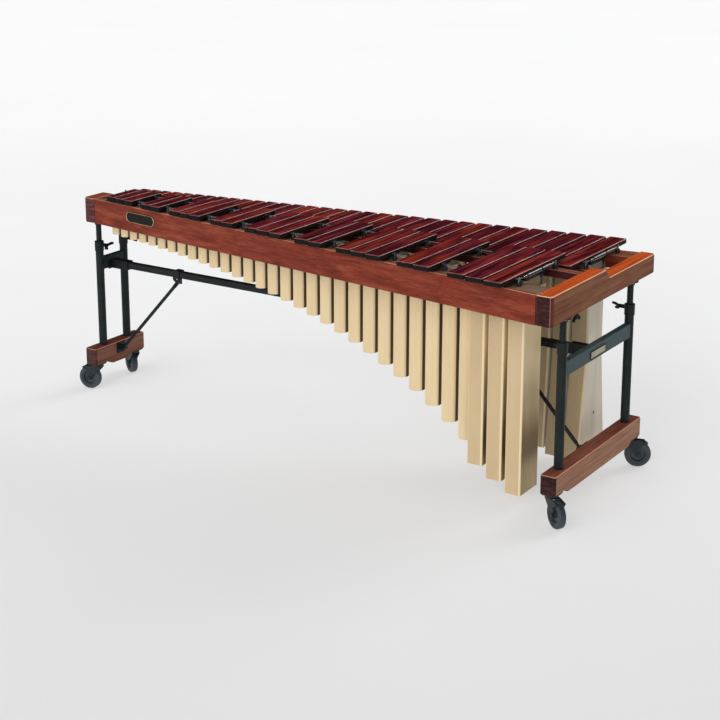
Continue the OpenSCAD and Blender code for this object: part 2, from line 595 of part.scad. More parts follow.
// fork bracket on the inner face of each foot, with the brace pin
module brace_brackets() color(black) for (s = [-1, 1]) {
  translate([s > 0 ? x_in - 5 : -x_in, -26, brace_pz - 24]) cube([5, 52, 48]);
  for (t = [-1, 1]) translate([s*brace_px, t*9, brace_pz]) rotate([90, 0, 0]) translate([0, 0, -2.5]) {
    cylinder(d = 22, h = 5);
    translate([s > 0 ? 0 : -16, -11, 0]) cube([16, 22, 5]);
  }
  translate([s*brace_px, 14, brace_pz]) rotate([90, 0, 0]) cylinder(d = 8, h = 28);
}
// brace rod with a pinned eye below and a side-slotted blade above
module brace(s) translate([s*brace_px, 0, brace_pz]) mirror([s > 0 ? 1 : 0, 0, 0]) rotate([0, -brace_a, 0]) difference() {
  union() {
    rotate([90, 0, 0]) translate([0, 0, -6]) cylinder(d = 20, h = 12);
    translate([6, 0, 0]) rotate([0, 90, 0]) cylinder(d = 12, h = brace_l - 26);
    translate([24, 0, 0]) rotate([0, 90, 0]) cylinder(d = 15, h = brace_l - 48);
    translate([brace_l - 40, -2.5, -8]) cube([40, 5, 16]);
    translate([brace_l, 2.5, 0]) rotate([90, 0, 0]) cylinder(d = 22, h = 5);
  }
  rotate([90, 0, 0]) translate([0, 0, -10]) cylinder(d = 8.16, h = 20);
  translate([brace_l, 4, 0]) rotate([90, 0, 0]) cylinder(d = 9, h = 8);
  translate([brace_l - 4.5, -4, 0]) cube([9, 8, 14]);
}
module treble_brace() color(black) brace(-1);
module bass_brace() color(black) brace(1);

// ---------- casters ----------

// fixed plate with the swivel stem
module caster_plates() color(black) for (p = swivels) translate([p[0], p[1], 0]) {
  translate([-29, -31, foot_end_z - 4]) linear_extrude(4) rrect(58, 62, 6);
  translate([0, 0, fork_z + 1]) cylinder(d = 16, h = foot_end_z - 4 - fork_z);
}
// place a caster piece: local x along the heading, swivel axis at the origin
module swivel(k) translate([swivels[k][0], swivels[k][1], 0]) rotate([0, 0, swivels[k][2]]) children();

fork_in = tyre_w/2 + 2;
module fork_arm() rotate([90, 0, 0]) linear_extrude(4)
  polygon([[-22, fork_z + 4], [-20, fork_z - 5], [trail - 13, wheel_r + 2], [trail - 11, wheel_r - 6], [trail - 5, wheel_r - 11], [trail + 5, wheel_r - 11],
    [trail + 11, wheel_r - 6], [trail + 12, wheel_r + 2], [trail + 4, fork_z - 26], [trail + 14, fork_z - 15], [trail + 28, fork_z - 10],
    [trail + 29, fork_z - 2], [trail + 22, fork_z - 1], [26, fork_z + 4]]);
module caster_fork(k) color(black) swivel(k) {
  difference() {
    union() {
      translate([0, 0, fork_z]) cylinder(d = 48, h = foot_end_z - 4.5 - fork_z);
      translate([-22, -fork_in - 4, fork_z]) cube([48, 2*fork_in + 8, 4]);
      for (t = [-1, 1]) translate([0, t > 0 ? fork_in + 4 : -fork_in, 0]) fork_arm();
    }
    translate([0, 0, fork_z - 1]) cylinder(d = 16.16, h = 30);
    translate([trail + 25, 30, fork_z - 4.8]) rotate([90, 0, 0]) cylinder(d = 4.2, h = 60);
  }
  // axle
  translate([trail, fork_in + 6, wheel_r]) rotate([90, 0, 0]) cylinder(d = 10, h = 2*fork_in + 12);
  for (t = [-1, 1]) translate([trail, t*(fork_in + 4) + (t > 0 ? 4 : 0), wheel_r]) rotate([90, 0, 0]) cylinder(d = 17, h = 4, $fn = 6);
}
module caster_tyre(k) color(rubber) swivel(k) translate([trail, 0, wheel_r]) rotate([90, 0, 0])
  rotate_extrude($fn = 72) {
    translate([wheel_r - 14, -tyre_w/2]) square([9, tyre_w]);
    translate([wheel_r - 14, -tyre_w/2 + 5]) square([14, tyre_w - 10]);
    for (s = [-1, 1]) translate([wheel_r - 5, s*(tyre_w/2 - 5)]) circle(5);
  }
module caster_hub(k) color(black) swivel(k) translate([trail, 0, wheel_r]) rotate([90, 0, 0])
  rotate_extrude($fn = 72) polygon([[5.06, -tyre_w/2 - 1], [12, -tyre_w/2 - 1], [13, -6], [28, -4], [30, -tyre_w/2 + 2],
    [wheel_r - 14.05, -tyre_w/2 + 2], [wheel_r - 14.05, tyre_w/2 - 2], [30, tyre_w/2 - 2], [28, 4], [13, 6], [12, tyre_w/2 + 1], [5.06, tyre_w/2 + 1]]);
// foot pedal hinged on the trailing ears of the fork
module caster_brake(k) color(rubber) swivel(k) translate([trail + 25, 0, fork_z - 4.8]) {
  rotate([90, 0, 0]) translate([0, 0, -fork_in + 0.5]) cylinder(d = 6, h = 2*fork_in - 1);
  rotate([90, 0, 0]) translate([0, 0, -fork_in - 5]) cylinder(d = 4, h = 2*fork_in + 10);
  rotate([0, 25, 0]) translate([0, -fork_in + 1, -1.8]) linear_extrude(3.6)
    polygon([[0, 0], [9, 0], [13, 3], [15, 8], [15, 2*fork_in - 10], [13, 2*fork_in - 5], [9, 2*fork_in - 2], [0, 2*fork_in - 2]]);
}
module caster_fork_lf() caster_fork(0);
module caster_hub_lf() caster_hub(0);
module caster_tyre_lf() caster_tyre(0);
module caster_brake_lf() caster_brake(0);
module caster_fork_lr() caster_fork(1);
module caster_hub_lr() caster_hub(1);
module caster_tyre_lr() caster_tyre(1);
module caster_brake_lr() caster_brake(1);
module caster_fork_rf() caster_fork(2);
module caster_hub_rf() caster_hub(2);
module caster_tyre_rf() caster_tyre(2);
module caster_brake_rf() caster_brake(2);
module caster_fork_rr() caster_fork(3);
module caster_hub_rr() caster_hub(3);
module caster_tyre_rr() caster_tyre(3);
module caster_brake_rr() caster_brake(3);

// ---------- assembly ----------

treble_end_block();
bass_end_block();
front_board();
accidental_outer_rail();
accidental_inner_rail();
natural_inner_rail();
natural_outer_rail();
accidental_bars();
natural_bars();
accidental_cords();
natural_cords();
accidental_cord_posts();
natural_cord_posts();
post_grommets();
accidental_tubes();
accidental_bass_boxes();
natural_tubes();
natural_bass_boxes();
box_mouth_trim();
tuning_stoppers();
accidental_bank_frame();
natural_bank_frame();
bank_brackets();
upper_leg_tubes();
leg_flanges();
flange_screws();
front_badge();
lower_leg_tubes();
leg_collars();
treble_crossbeam();
bass_crossbeam();
crossbeam_plate();
stretcher();
stretcher_fittings();
treble_foot();
bass_foot();
brace_brackets();
caster_plates();
treble_brace();
bass_brace();
wing_screw_lf();
wing_screw_lr();
wing_screw_rf();
wing_screw_rr();
caster_fork_lf();
caster_hub_lf();
caster_tyre_lf();
caster_brake_lf();
caster_fork_lr();
caster_hub_lr();
caster_tyre_lr();
caster_brake_lr();
caster_fork_rf();
caster_hub_rf();
caster_tyre_rf();
caster_brake_rf();
caster_fork_rr();
caster_hub_rr();
caster_tyre_rr();
caster_brake_rr();
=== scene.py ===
import bpy
import bmesh
import math
from mathutils import Vector, Matrix


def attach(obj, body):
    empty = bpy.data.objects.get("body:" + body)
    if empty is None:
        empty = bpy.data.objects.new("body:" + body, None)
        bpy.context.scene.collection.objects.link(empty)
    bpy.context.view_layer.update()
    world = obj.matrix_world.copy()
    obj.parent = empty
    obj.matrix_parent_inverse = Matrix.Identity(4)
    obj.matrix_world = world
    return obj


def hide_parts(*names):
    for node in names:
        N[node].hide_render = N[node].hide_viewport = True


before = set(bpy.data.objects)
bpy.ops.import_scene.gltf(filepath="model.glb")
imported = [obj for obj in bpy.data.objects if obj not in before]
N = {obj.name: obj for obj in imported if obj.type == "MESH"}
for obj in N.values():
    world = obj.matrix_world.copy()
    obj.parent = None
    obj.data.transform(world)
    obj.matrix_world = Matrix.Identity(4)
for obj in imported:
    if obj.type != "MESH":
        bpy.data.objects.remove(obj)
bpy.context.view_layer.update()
scene = bpy.context.scene

# ------------------------------------------------------------------ keyboard rules, in metres
X_IN = 1.142
P_HI, P_LO, X0 = 0.052, 0.08085, -1.1255
K = (P_LO - P_HI) / 32


def slot_x(i):
    return X0 + i * P_HI + K * i * (i - 1) / 2


def pitch(i):
    return P_HI + K * i


def line(a, b, x):
    return a + (b - a) * (x + X_IN) / (2 * X_IN)


# ------------------------------------------------------------------ camera
cam = bpy.data.objects.new("camera", bpy.data.cameras.new("camera"))
scene.collection.objects.link(cam)
scene.camera = cam
CAM_POS = Vector((3.4881, -5.1023, 2.3487))
YAW, PITCH, F_PX = 33.2656, -14.367, 1591.3
cam.location = CAM_POS
cam.rotation_euler = (math.radians(90 + PITCH), 0, math.radians(YAW))
cam.data.sensor_width = 36
cam.data.lens = F_PX / 720 * 36
cam.data.shift_y = -0.15
cam.data.clip_end = 200

# ------------------------------------------------------------------ shader helpers


class Mat:
    def __init__(self, name):
        self.m = bpy.data.materials.new(name)
        self.m.use_nodes = True
        self.t = self.m.node_tree
        self.t.nodes.clear()
        self.out = self.node("ShaderNodeOutputMaterial")
        self.b = self.node("ShaderNodeBsdfPrincipled")
        self.t.links.new(self.b.outputs[0], self.out.inputs[0])
        self._tc = None

    def node(self, kind, **props):
        n = self.t.nodes.new(kind)
        for k, v in props.items():
            setattr(n, k, v)
        return n

    def put(self, socket, value):
        if hasattr(value, "is_linked") or isinstance(value, bpy.types.NodeSocket):
            self.t.links.new(value, socket)
        else:
            socket.default_value = value

    def co(self):
        if self._tc is None:
            self._tc = self.node("ShaderNodeTexCoord")
        return self._tc.outputs["Object"]

    def normal(self):
        self.co()
        return self._tc.outputs["Normal"]

    def mapping(self, scale, offset=(0, 0, 0), rot=(0, 0, 0), src=None):
        n = self.node("ShaderNodeMapping")
        self.put(n.inputs["Vector"], src or self.co())
        n.inputs["Scale"].default_value = scale
        n.inputs["Rotation"].default_value = rot
        self.put(n.inputs["Location"], offset)
        return n.outputs[0]

    def noise(self, vec, scale=1.0, detail=4.0, rough=0.55, dist=0.0):
        n = self.node("ShaderNodeTexNoise")
        self.put(n.inputs["Vector"], vec)
        n.inputs["Scale"].default_value = scale
        n.inputs["Detail"].default_value = detail
        n.inputs["Roughness"].default_value = rough
        n.inputs["Distortion"].default_value = dist
        return n.outputs[0]

    def ramp(self, fac, stops, interp="LINEAR"):
        n = self.node("ShaderNodeValToRGB")
        n.color_ramp.interpolation = interp
        e = n.color_ramp.elements
        while len(e) < len(stops):
            e.new(0.5)
        for el, (p, c) in zip(e, stops):
            el.position = p
            el.color = (*c, 1) if len(c) == 3 else c
        self.put(n.inputs[0], fac)
        return n.outputs[0]

    def math(self, op, a, b=0.0, c=None, clamp=False):
        n = self.node("ShaderNodeMath", operation=op, use_clamp=clamp)
        self.put(n.inputs[0], a)
        self.put(n.inputs[1], b)
        if c is not None:
            self.put(n.inputs[2], c)
        return n.outputs[0]

    def remap(self, v, a, b, c, d, smooth=False):
        n = self.node("ShaderNodeMapRange")
        n.clamp = True
        if smooth:
            n.interpolation_type = "SMOOTHSTEP"
        self.put(n.inputs["Value"], v)
        for k, x in zip(("From Min", "From Max", "To Min", "To Max"), (a, b, c, d)):
            n.inputs[k].default_value = x
        return n.outputs[0]

    def mix(self, fac, a, b, blend="MIX"):
        n = self.node("ShaderNodeMix", data_type="RGBA", blend_type=blend)
        n.clamp_factor = True
        self.put(n.inputs[0], fac)
        for s, v in ((n.inputs[6], a), (n.inputs[7], b)):
            if isinstance(v, (tuple, list)):
                s.default_value = (*v, 1) if len(v) == 3 else v
            else:
                self.put(s, v)
        return n.outputs[2]

    def sep(self, v):
        n = self.node("ShaderNodeSeparateXYZ")
        self.put(n.inputs[0], v)
        return n.outputs

    def join(self, x, y, z):
        n = self.node("ShaderNodeCombineXYZ")
        for s, v in zip(n.inputs, (x, y, z)):
            self.put(s, v)
        return n.outputs[0]

    def bump(self, height, strength=0.3, distance=0.001, normal=None):
        n = self.node("ShaderNodeBump")
        n.inputs["Strength"].default_value = strength
        n.inputs["Distance"].default_value = distance
        self.put(n.inputs["Height"], height)
        if normal is not None:
            self.put(n.inputs["Normal"], normal)
        return n.outputs[0]

    def set(self, **kw):
        names = {"color": "Base Color", "rough": "Roughness", "metal": "Metallic", "normal": "Normal",
                 "coat": "Coat Weight", "coat_rough": "Coat Roughness", "spec": "Specular IOR Level",
                 "aniso": "Anisotropic", "sheen": "Sheen Weight", "ior": "IOR"}
        for k, v in kw.items():
            s = self.b.inputs[names[k]]
            if isinstance(v, tuple) and len(v) == 3:
                v = (*v, 1)
            self.put(s, v)
        return self.m


def srgb(r, g, b):
    def f(c):
        c /= 255
        return c / 12.92 if c <= 0.04045 else ((c + 0.055) / 1.055) ** 2.4
    return (f(r), f(g), f(b))


def grain_scales(axis, along, across):
    s = [across, across, across]
    s["XYZ".index(axis)] = along
    return tuple(s)


def wood(name, axis, face, top=None, end=None, rough=0.36, coat=0.0, figure=1.0, pore=0.5, seed=0.0, spec=0.15,
         wrap=(0.55, 0.9), rub=(236, 170, 136), rub_highlight_amount=(0.25, 0.75), painted_glint=None):
    """Lacquered open-pored wood with its grain along axis. face, top and end are (dark, mid, light) tones of the
    upright faces along the grain, of the upper face and of the end grain; face against top is painted light and shade,
    one wood in separate lit and shaded tones. wrap says how far the end grain reaches round a corner, rub and
    rub_highlight_amount are the tone of worn edges, partly a painted highlight, and how strongly it shows.
    painted_glint gives a painted highlight line and a darker reddish band on a rounded upright corner."""
    M = Mat(name)
    top = top or face
    end = end or tuple(tuple(0.4 * c for c in t) for t in face)
    off = (seed, seed * 1.7, seed * 0.6)
    broad = M.noise(M.mapping(grain_scales(axis, 1.3, 15), off), 1.0, 5, 0.6, 1.3)
    bands = M.noise(M.mapping(grain_scales(axis, 2.6, 75), off), 1.0, 6, 0.62, 0.9)
    fibre = M.noise(M.mapping(grain_scales(axis, 9, 420), off), 1.0, 3, 0.6)
    pores = M.noise(M.mapping(grain_scales(axis, 26, 900), off), 1.0, 2, 0.5)
    f = M.math("ADD", M.math("MULTIPLY", broad, 0.55), M.math("MULTIPLY", bands, 0.45))
    f = M.remap(f, 0.5 - 0.17 / figure, 0.5 + 0.17 / figure, 0, 1)
    nrm = M.sep(M.normal())
    # painted light and shade: upper faces take the top tones, upright faces the face tones
    painted_top_mask = M.remap(nrm[2], 0.55, 0.85, 0, 1, True)
    col = M.ramp(f, [(0.0, face[0]), (0.5, face[1]), (1.0, face[2])])
    col = M.mix(painted_top_mask, col, M.ramp(f, [(0.0, top[0]), (0.5, top[1]), (1.0, top[2])]))
    col = M.mix(M.remap(fibre, 0.3, 0.7, 0.28, 0.0), col, tuple(0.55 * c for c in face[0]))
    col = M.mix(M.remap(pores, 0.60, 0.72, 0.0, pore), col, tuple(0.30 * c for c in face[0]))
    across = M.remap(M.math("ABSOLUTE", nrm["XYZ".index(axis)]), wrap[0], wrap[1], 0, 1, True)
    rings = M.noise(M.mapping((26, 26, 170), off), 1.0, 5, 0.65, 0.25)
    col = M.mix(across, col, M.ramp(rings, [(0.3, end[0]), (0.5, end[1]), (0.7, end[2])]))
    if painted_glint:
        # rounded upright corner: a painted highlight line, and a darker reddish band beyond it
        nx = M.math("ABSOLUTE", nrm[0])
        upright = M.remap(M.math("ABSOLUTE", nrm[2]), 0.2, 0.5, 1, 0)
        red = M.math("MULTIPLY", M.remap(nx, 0.70, 0.80, 0, 0.7), upright)
        col = M.mix(M.math("MULTIPLY", red, M.remap(nx, 0.965, 0.992, 1, 0)), col, srgb(*painted_glint[1]))
        painted_glint_line = M.math("MULTIPLY", M.remap(nx, 0.48, 0.56, 0, 0.5, True), M.remap(nx, 0.60, 0.68, 1, 0, True))
        col = M.mix(M.math("MULTIPLY", painted_glint_line, upright), col, srgb(*painted_glint[0]))
    # worn edges, partly a painted highlight: a pale tone where the eased corner turns between two faces
    biggest = M.math("MAXIMUM", M.math("ABSOLUTE", nrm[0]), M.math("MAXIMUM", M.math("ABSOLUTE", nrm[1]), M.math("ABSOLUTE", nrm[2])))
    worn_highlit_edge = M.math("MULTIPLY", M.remap(biggest, 0.80, 0.95, 1, 0), M.remap(nrm[2], 0.2, 0.45, 0, 1))
    scuff_and_highlight_noise = M.noise(M.mapping((14, 14, 14), off), 1.0, 5, 0.7)
    col = M.mix(M.math("MULTIPLY", worn_highlit_edge, M.remap(scuff_and_highlight_noise, 0.3, 0.7, rub_highlight_amount[0], rub_highlight_amount[1])), col, srgb(*rub))
    r = M.math("ADD", M.remap(fibre, 0.3, 0.7, rough - 0.05, rough + 0.07), M.remap(scuff_and_highlight_noise, 0.4, 0.75, 0.0, 0.08))
    h = M.math("ADD", M.math("MULTIPLY", fibre, 0.5), M.math("MULTIPLY", M.remap(pores, 0.60, 0.72, 0, 1), -0.6))
    return M.set(color=col, rough=r, coat=coat, coat_rough=0.12, spec=spec, normal=M.bump(h, 0.25, 0.0004))


def rosewood(name, half):
    """Bars: the grain runs along Y, and each bar has its own tone. half = 0 for naturals, 0.5 for accidentals."""
    M = Mat(name)
    xyz = M.sep(M.co())
    # bar number from the widening pitch: x = X0 + B i + A i^2
    A, B = K / 2, P_HI - K / 2
    root = M.math("SQRT", M.math("MAXIMUM", M.math("MULTIPLY_ADD", M.math("SUBTRACT", xyz[0], X0), 4 * A, B * B), 1e-6))
    idx = M.math("FLOOR", M.math("ADD", M.math("DIVIDE", M.math("SUBTRACT", root, B), 2 * A), half))
    wn = M.node("ShaderNodeTexWhiteNoise", noise_dimensions="1D")
    M.put(wn.inputs["W"], M.math("ADD", idx, 3.37 + 40 * half))
    rnd = M.sep(wn.outputs["Color"])
    off = M.join(M.math("MULTIPLY", rnd[0], 9.0), M.math("MULTIPLY", rnd[1], 7.0), M.math("MULTIPLY", rnd[2], 5.0))

    def shifted(scale):
        n = M.node("ShaderNodeMapping")
        M.put(n.inputs["Vector"], M.co())
        n.inputs["Scale"].default_value = scale
        M.put(n.inputs["Location"], off)
        return n.outputs[0]
    broad = M.noise(shifted((34, 2.2, 34)), 1.0, 4, 0.6, 1.1)
    bands = M.noise(shifted((150, 3.0, 150)), 1.0, 5, 0.62, 0.7)
    fibre = M.noise(shifted((620, 12, 620)), 1.0, 3, 0.6)
    pores = M.noise(shifted((1100, 36, 1100)), 1.0, 2, 0.5)
    patch = M.noise(shifted((9, 4.5, 9)), 1.0, 3, 0.55, 0.6)
    f = M.math("ADD", M.math("MULTIPLY", broad, 0.5), M.math("MULTIPLY", bands, 0.5))
    f = M.remap(f, 0.405, 0.60, 0, 1)
    low = M.ramp(f, [(0.0, srgb(44, 12, 22)), (0.5, srgb(112, 28, 44)), (1.0, srgb(170, 58, 70))])
    high = M.ramp(f, [(0.0, srgb(74, 18, 22)), (0.5, srgb(160, 46, 36)), (1.0, srgb(216, 94, 56))])
    warm = M.math("ADD", M.remap(rnd[1], 0.1, 0.95, -0.30, 0.42), M.remap(patch, 0.35, 0.68, -0.2, 0.7), clamp=True)
    col = M.mix(warm, low, high)
    col = M.mix(M.remap(fibre, 0.3, 0.7, 0.5, 0.0), col, srgb(36, 10, 14))
    col = M.mix(M.remap(pores, 0.60, 0.72, 0.0, 0.6), col, srgb(22, 8, 9))
    nrm = M.sep(M.normal())
    # painted shade: the ends and sides are painted near black, far darker than the polished face
    side = M.remap(nrm[2], 0.12, 0.42, 0.985, 0, True)
    col = M.mix(side, col, srgb(6, 6, 7))
    # partly wear, partly a painted highlight: the eased upper edges are painted pale, along the sides more than at the
    # ends
    side_x, end_y = M.math("ABSOLUTE", nrm[0]), M.math("ABSOLUTE", nrm[1])
    worn_highlit_edge = M.math("MULTIPLY", M.remap(side_x, 0.28, 0.46, 0, 1), M.remap(side_x, 0.86, 0.95, 1, 0))
    worn_highlit_tip = M.math("MULTIPLY", M.remap(end_y, 0.28, 0.46, 0, 0.45), M.remap(end_y, 0.86, 0.95, 1, 0))
    worn_highlit_edge = M.math("MULTIPLY", M.math("MAXIMUM", worn_highlit_edge, worn_highlit_tip), M.remap(nrm[2], 0.12, 0.3, 0, 1))
    wear_and_highlight_noise = M.noise(M.mapping((40, 26, 40)), 1.0, 5, 0.75)
    col = M.mix(M.math("MULTIPLY", worn_highlit_edge, M.remap(wear_and_highlight_noise, 0.34, 0.66, 0.10, 0.92)), col, srgb(206, 158, 150))
    r = M.math("ADD", M.remap(fibre, 0.3, 0.7, 0.24, 0.34), M.math("MULTIPLY", rnd[0], 0.06))
    r = M.math("ADD", r, M.math("MULTIPLY", side, 0.55), clamp=True)
    h = M.math("ADD", M.math("MULTIPLY", fibre, 0.4), M.math("MULTIPLY", M.remap(pores, 0.60, 0.72, 0, 1), -0.6))
    return M.set(color=col, rough=r, coat=0.04, coat_rough=0.16, spec=0.25, normal=M.bump(h, 0.2, 0.0003))


def anodised(name, col_a, col_b, rough=0.36, metal=0.85, spec=0.3, painted_fold_highlights=None, painted_flank=None, painted_valley=None, painted_drift=None):
    """Satin anodised aluminium drawn along Z. painted_fold_highlights are the x of folded corners that get a painted
    highlight, painted_flank is the tone of the faces across X, painted light and shade that sets them apart from the
    front, painted_valley the painted light on a tube's sides and the painted shade on the dull strip that faces its
    neighbour.
    painted_drift is a pair of tones into which those faces shift: painted light toward the top and a painted darker
    reflection near the foot."""
    M = Mat(name)
    streak = M.noise(M.mapping((900, 900, 5)), 1.0, 3, 0.6)
    cloud = M.noise(M.mapping((9, 9, 3)), 1.0, 4, 0.6)
    spots = M.noise(M.mapping((160, 160, 160)), 1.0, 2, 0.5)
    col = M.mix(M.remap(cloud, 0.35, 0.65, 0, 1), col_a, col_b)
    col = M.mix(M.remap(streak, 0.3, 0.7, 0.10, 0.0), col, tuple(0.62 * c for c in col_a))
    col = M.mix(M.remap(spots, 0.70, 0.80, 0.0, 0.25), col, tuple(0.5 * c for c in col_a))
    draw = M.noise(M.mapping((70, 70, 0.7)), 1.0, 3, 0.5)
    col = M.mix(M.remap(draw, 0.35, 0.65, 0.0, 0.22), col, (col_a[0] * 0.92, col_a[1] * 0.93, col_a[2] * 0.80))
    # painted light and shade: a tube's sides are painted lighter and the strip facing its neighbour darker
    if painted_valley:
        nx = M.math("ABSOLUTE", M.sep(M.normal())[0])
        shade_mottle = M.noise(M.mapping((30, 30, 1.6)), 1.0, 4, 0.6)
        col = M.mix(M.remap(nx, 0.30, 0.88, 0, 0.6, True), col, painted_valley[0])
        dark = M.mix(M.remap(shade_mottle, 0.35, 0.65, 0, 1), painted_valley[1], tuple(0.7 * c for c in painted_valley[1]))
        col = M.mix(M.remap(nx, 0.925, 0.952, 0, 0.94, True), col, dark)
    if painted_flank:
        nrm = M.sep(M.normal())
        nx = M.math("ABSOLUTE", nrm[0])
        dull = M.noise(M.mapping((14, 14, 2.2)), 1.0, 4, 0.6)
        tone = M.mix(M.remap(dull, 0.35, 0.65, 0, 1), painted_flank[0], painted_flank[1])
        # painted light toward the top of the faces across X, and a painted darker reflection near their foot
        if painted_drift:
            z = M.sep(M.co())[2]
            tone = M.mix(M.remap(z, 0.40, 0.64, 0, 0.9, True), tone, painted_drift[0])
            painted_foot_reflection = M.math("MULTIPLY", M.remap(z, 0.24, 0.40, 0.92, 0, True), M.remap(z, 0.14, 0.21, 0.3, 1, True))
            tone = M.mix(painted_foot_reflection, tone, painted_drift[1])
        # painted light and shade: the faces across X take their own painted tone
        col = M.mix(M.remap(nx, 0.80, 0.98, 0, 1, True), col, tone)
        # painted highlight: a pale tone on the rounded corners and along the folded corners listed in
        # painted_fold_highlights
        painted_corner_highlight = M.math("MULTIPLY", M.remap(nx, 0.20, 0.45, 0, 1, True), M.remap(nx, 0.82, 0.97, 1, 0, True))
        pos = M.sep(M.co())
        x = pos[0]
        # painted shade: darker toward the mouths, inside the frame
        col = M.mix(M.remap(pos[2], 0.770, 0.800, 0, 0.72, True), col, tuple(0.22 * c for c in col_b))
        front = M.remap(M.math("ABSOLUTE", nrm[1]), 0.6, 0.9, 0, 1)
        for e in painted_fold_highlights:
            near = M.remap(M.math("ABSOLUTE", M.math("SUBTRACT", x, e)), 0.003, 0.007, 1, 0, True)
            painted_corner_highlight = M.math("MAXIMUM", painted_corner_highlight, M.math("MULTIPLY", near, front))
        col = M.mix(M.math("MULTIPLY", painted_corner_highlight, 0.55), col, srgb(248, 228, 188))
    r = M.math("ADD", M.remap(streak, 0.3, 0.7, rough - 0.05, rough + 0.06), M.remap(cloud, 0.35, 0.7, 0, 0.06))
    return M.set(color=col, rough=r, metal=metal, spec=spec, normal=M.bump(streak, 0.08, 0.0002))


def painted(name, base, rough=0.42, grainy=0.35, worn=(0.10, 0.12, 0.12), coat=0.0, metal=0.0, spec=0.25):
    """Powder-coated steel: a fine orange-peel skin with slight rubbing."""
    M = Mat(name)
    peel = M.noise(M.mapping((520, 520, 520)), 1.0, 2, 0.5)
    cloud = M.noise(M.mapping((18, 18, 18)), 1.0, 5, 0.65)
    rub = M.noise(M.mapping((60, 60, 60)), 1.0, 4, 0.7)
    col = M.mix(M.remap(cloud, 0.35, 0.7, 0, 1), base, tuple(min(1, 1.5 * c + 0.004) for c in base))
    col = M.mix(M.remap(rub, 0.64, 0.76, 0, 0.35), col, worn)
    r = M.math("ADD", M.remap(peel, 0.3, 0.7, rough - 0.06, rough + 0.08), M.remap(cloud, 0.4, 0.7, 0, 0.08))
    return M.set(color=col, rough=r, coat=coat, metal=metal, spec=spec, normal=M.bump(peel, grainy, 0.0003))


def plated(name, base, rough=0.2):
    M = Mat(name)
    fine = M.noise(M.mapping((700, 700, 90)), 1.0, 3, 0.6)
    tarn = M.noise(M.mapping((40, 40, 40)), 1.0, 4, 0.65)
    col = M.mix(M.remap(tarn, 0.45, 0.75, 0, 0.6), base, tuple(0.6 * c for c in base))
    r = M.math("ADD", M.remap(fine, 0.3, 0.7, rough - 0.05, rough + 0.08), M.remap(tarn, 0.45, 0.75, 0, 0.15))
    return M.set(color=col, rough=r, metal=1.0, normal=M.bump(fine, 0.06, 0.0002))


def moulded(name, base, rough=0.5, grain=420, bump=0.25, spec=0.5):
    M = Mat(name)
    skin = M.noise(M.mapping((grain, grain, grain)), 1.0, 3, 0.55)
    dust = M.noise(M.mapping((24, 24, 24)), 1.0, 5, 0.7)
    col = M.mix(M.remap(dust, 0.45, 0.75, 0, 0.6), base, tuple(min(1, 1.35 * c + 0.012) for c in base))
    r = M.math("ADD", M.remap(skin, 0.3, 0.7, rough - 0.06, rough + 0.08), M.remap(dust, 0.45, 0.75, 0, 0.1))
    return M.set(color=col, rough=r, spec=spec, normal=M.bump(skin, bump, 0.0003))


def braided(name, a, b):
    M = Mat(name)
    xyz = M.sep(M.co())
    w = M.node("ShaderNodeTexWave", wave_type="BANDS", bands_direction="DIAGONAL")
    M.put(w.inputs["Vector"], M.mapping((900, 900, 900)))
    w.inputs["Scale"].default_value = 0.25
    w.inputs["Distortion"].default_value = 0.6
    col = M.mix(w.outputs["Fac"], a, b)
    fuzz = M.noise(M.mapping((1500, 1500, 1500)), 1.0, 2, 0.5)
    return M.set(color=col, rough=M.remap(fuzz, 0.3, 0.7, 0.7, 0.9), sheen=0.3, normal=M.bump(w.outputs["Fac"], 0.5, 0.0006))


# ------------------------------------------------------------------ finishes
def tones(*rgb):
    return tuple(srgb(*c) for c in rgb)


front_wood = wood("front_lacquered_wood", "X", tones((78, 28, 20), (126, 52, 36), (152, 78, 56)),
                  top=tones((110, 56, 40), (150, 92, 70), (176, 118, 92)), spec=0.1, seed=2.0)
# painted highlight: brighter worn tone along the block's upper edges and a painted highlight line on its rounded corner
block_wood = wood("block_lacquered_wood", "Y", tones((92, 53, 38), (129, 84, 62), (153, 107, 82)),
                  top=tones((146, 46, 16), (214, 92, 40), (234, 124, 62)), end=tones((34, 19, 19), (58, 34, 32), (82, 52, 47)),
                  rough=0.3, spec=0.01, seed=5.0, wrap=(0.10, 0.34), rub=(255, 206, 172), rub_highlight_amount=(0.5, 0.95),
                  painted_glint=((176, 140, 146), (112, 52, 48)))
# painted light and shade: a copy of the bass block wood in the lit and shaded tones of the treble end
treble_block_wood = wood("treble_block_lacquered_wood", "Y", tones((96, 52, 38), (136, 78, 58), (158, 100, 78)),
                         top=tones((96, 40, 28), (140, 66, 46), (162, 88, 62)), end=tones((54, 32, 33), (86, 55, 55), (108, 74, 72)),
                         rough=0.3, spec=0.01, seed=6.5, wrap=(0.10, 0.34))
# painted light and shade: a copy of the foot wood in the lit and shaded tones of the treble foot
treble_foot_wood = wood("treble_foot_wood", "Y", tones((84, 50, 40), (126, 83, 67), (148, 106, 88)),
                        top=tones((78, 36, 30), (114, 60, 48), (138, 84, 68)), end=tones((48, 30, 29), (74, 49, 46), (92, 65, 61)),
                        rough=0.4, spec=0.04, seed=15.5, wrap=(0.10, 0.34))
rail_wood = wood("rail_wood", "X", tones((60, 34, 28), (92, 58, 46), (120, 84, 68)),
                 top=tones((100, 76, 62), (140, 110, 92), (164, 134, 114)), rough=0.45, coat=0.0, seed=9.0)
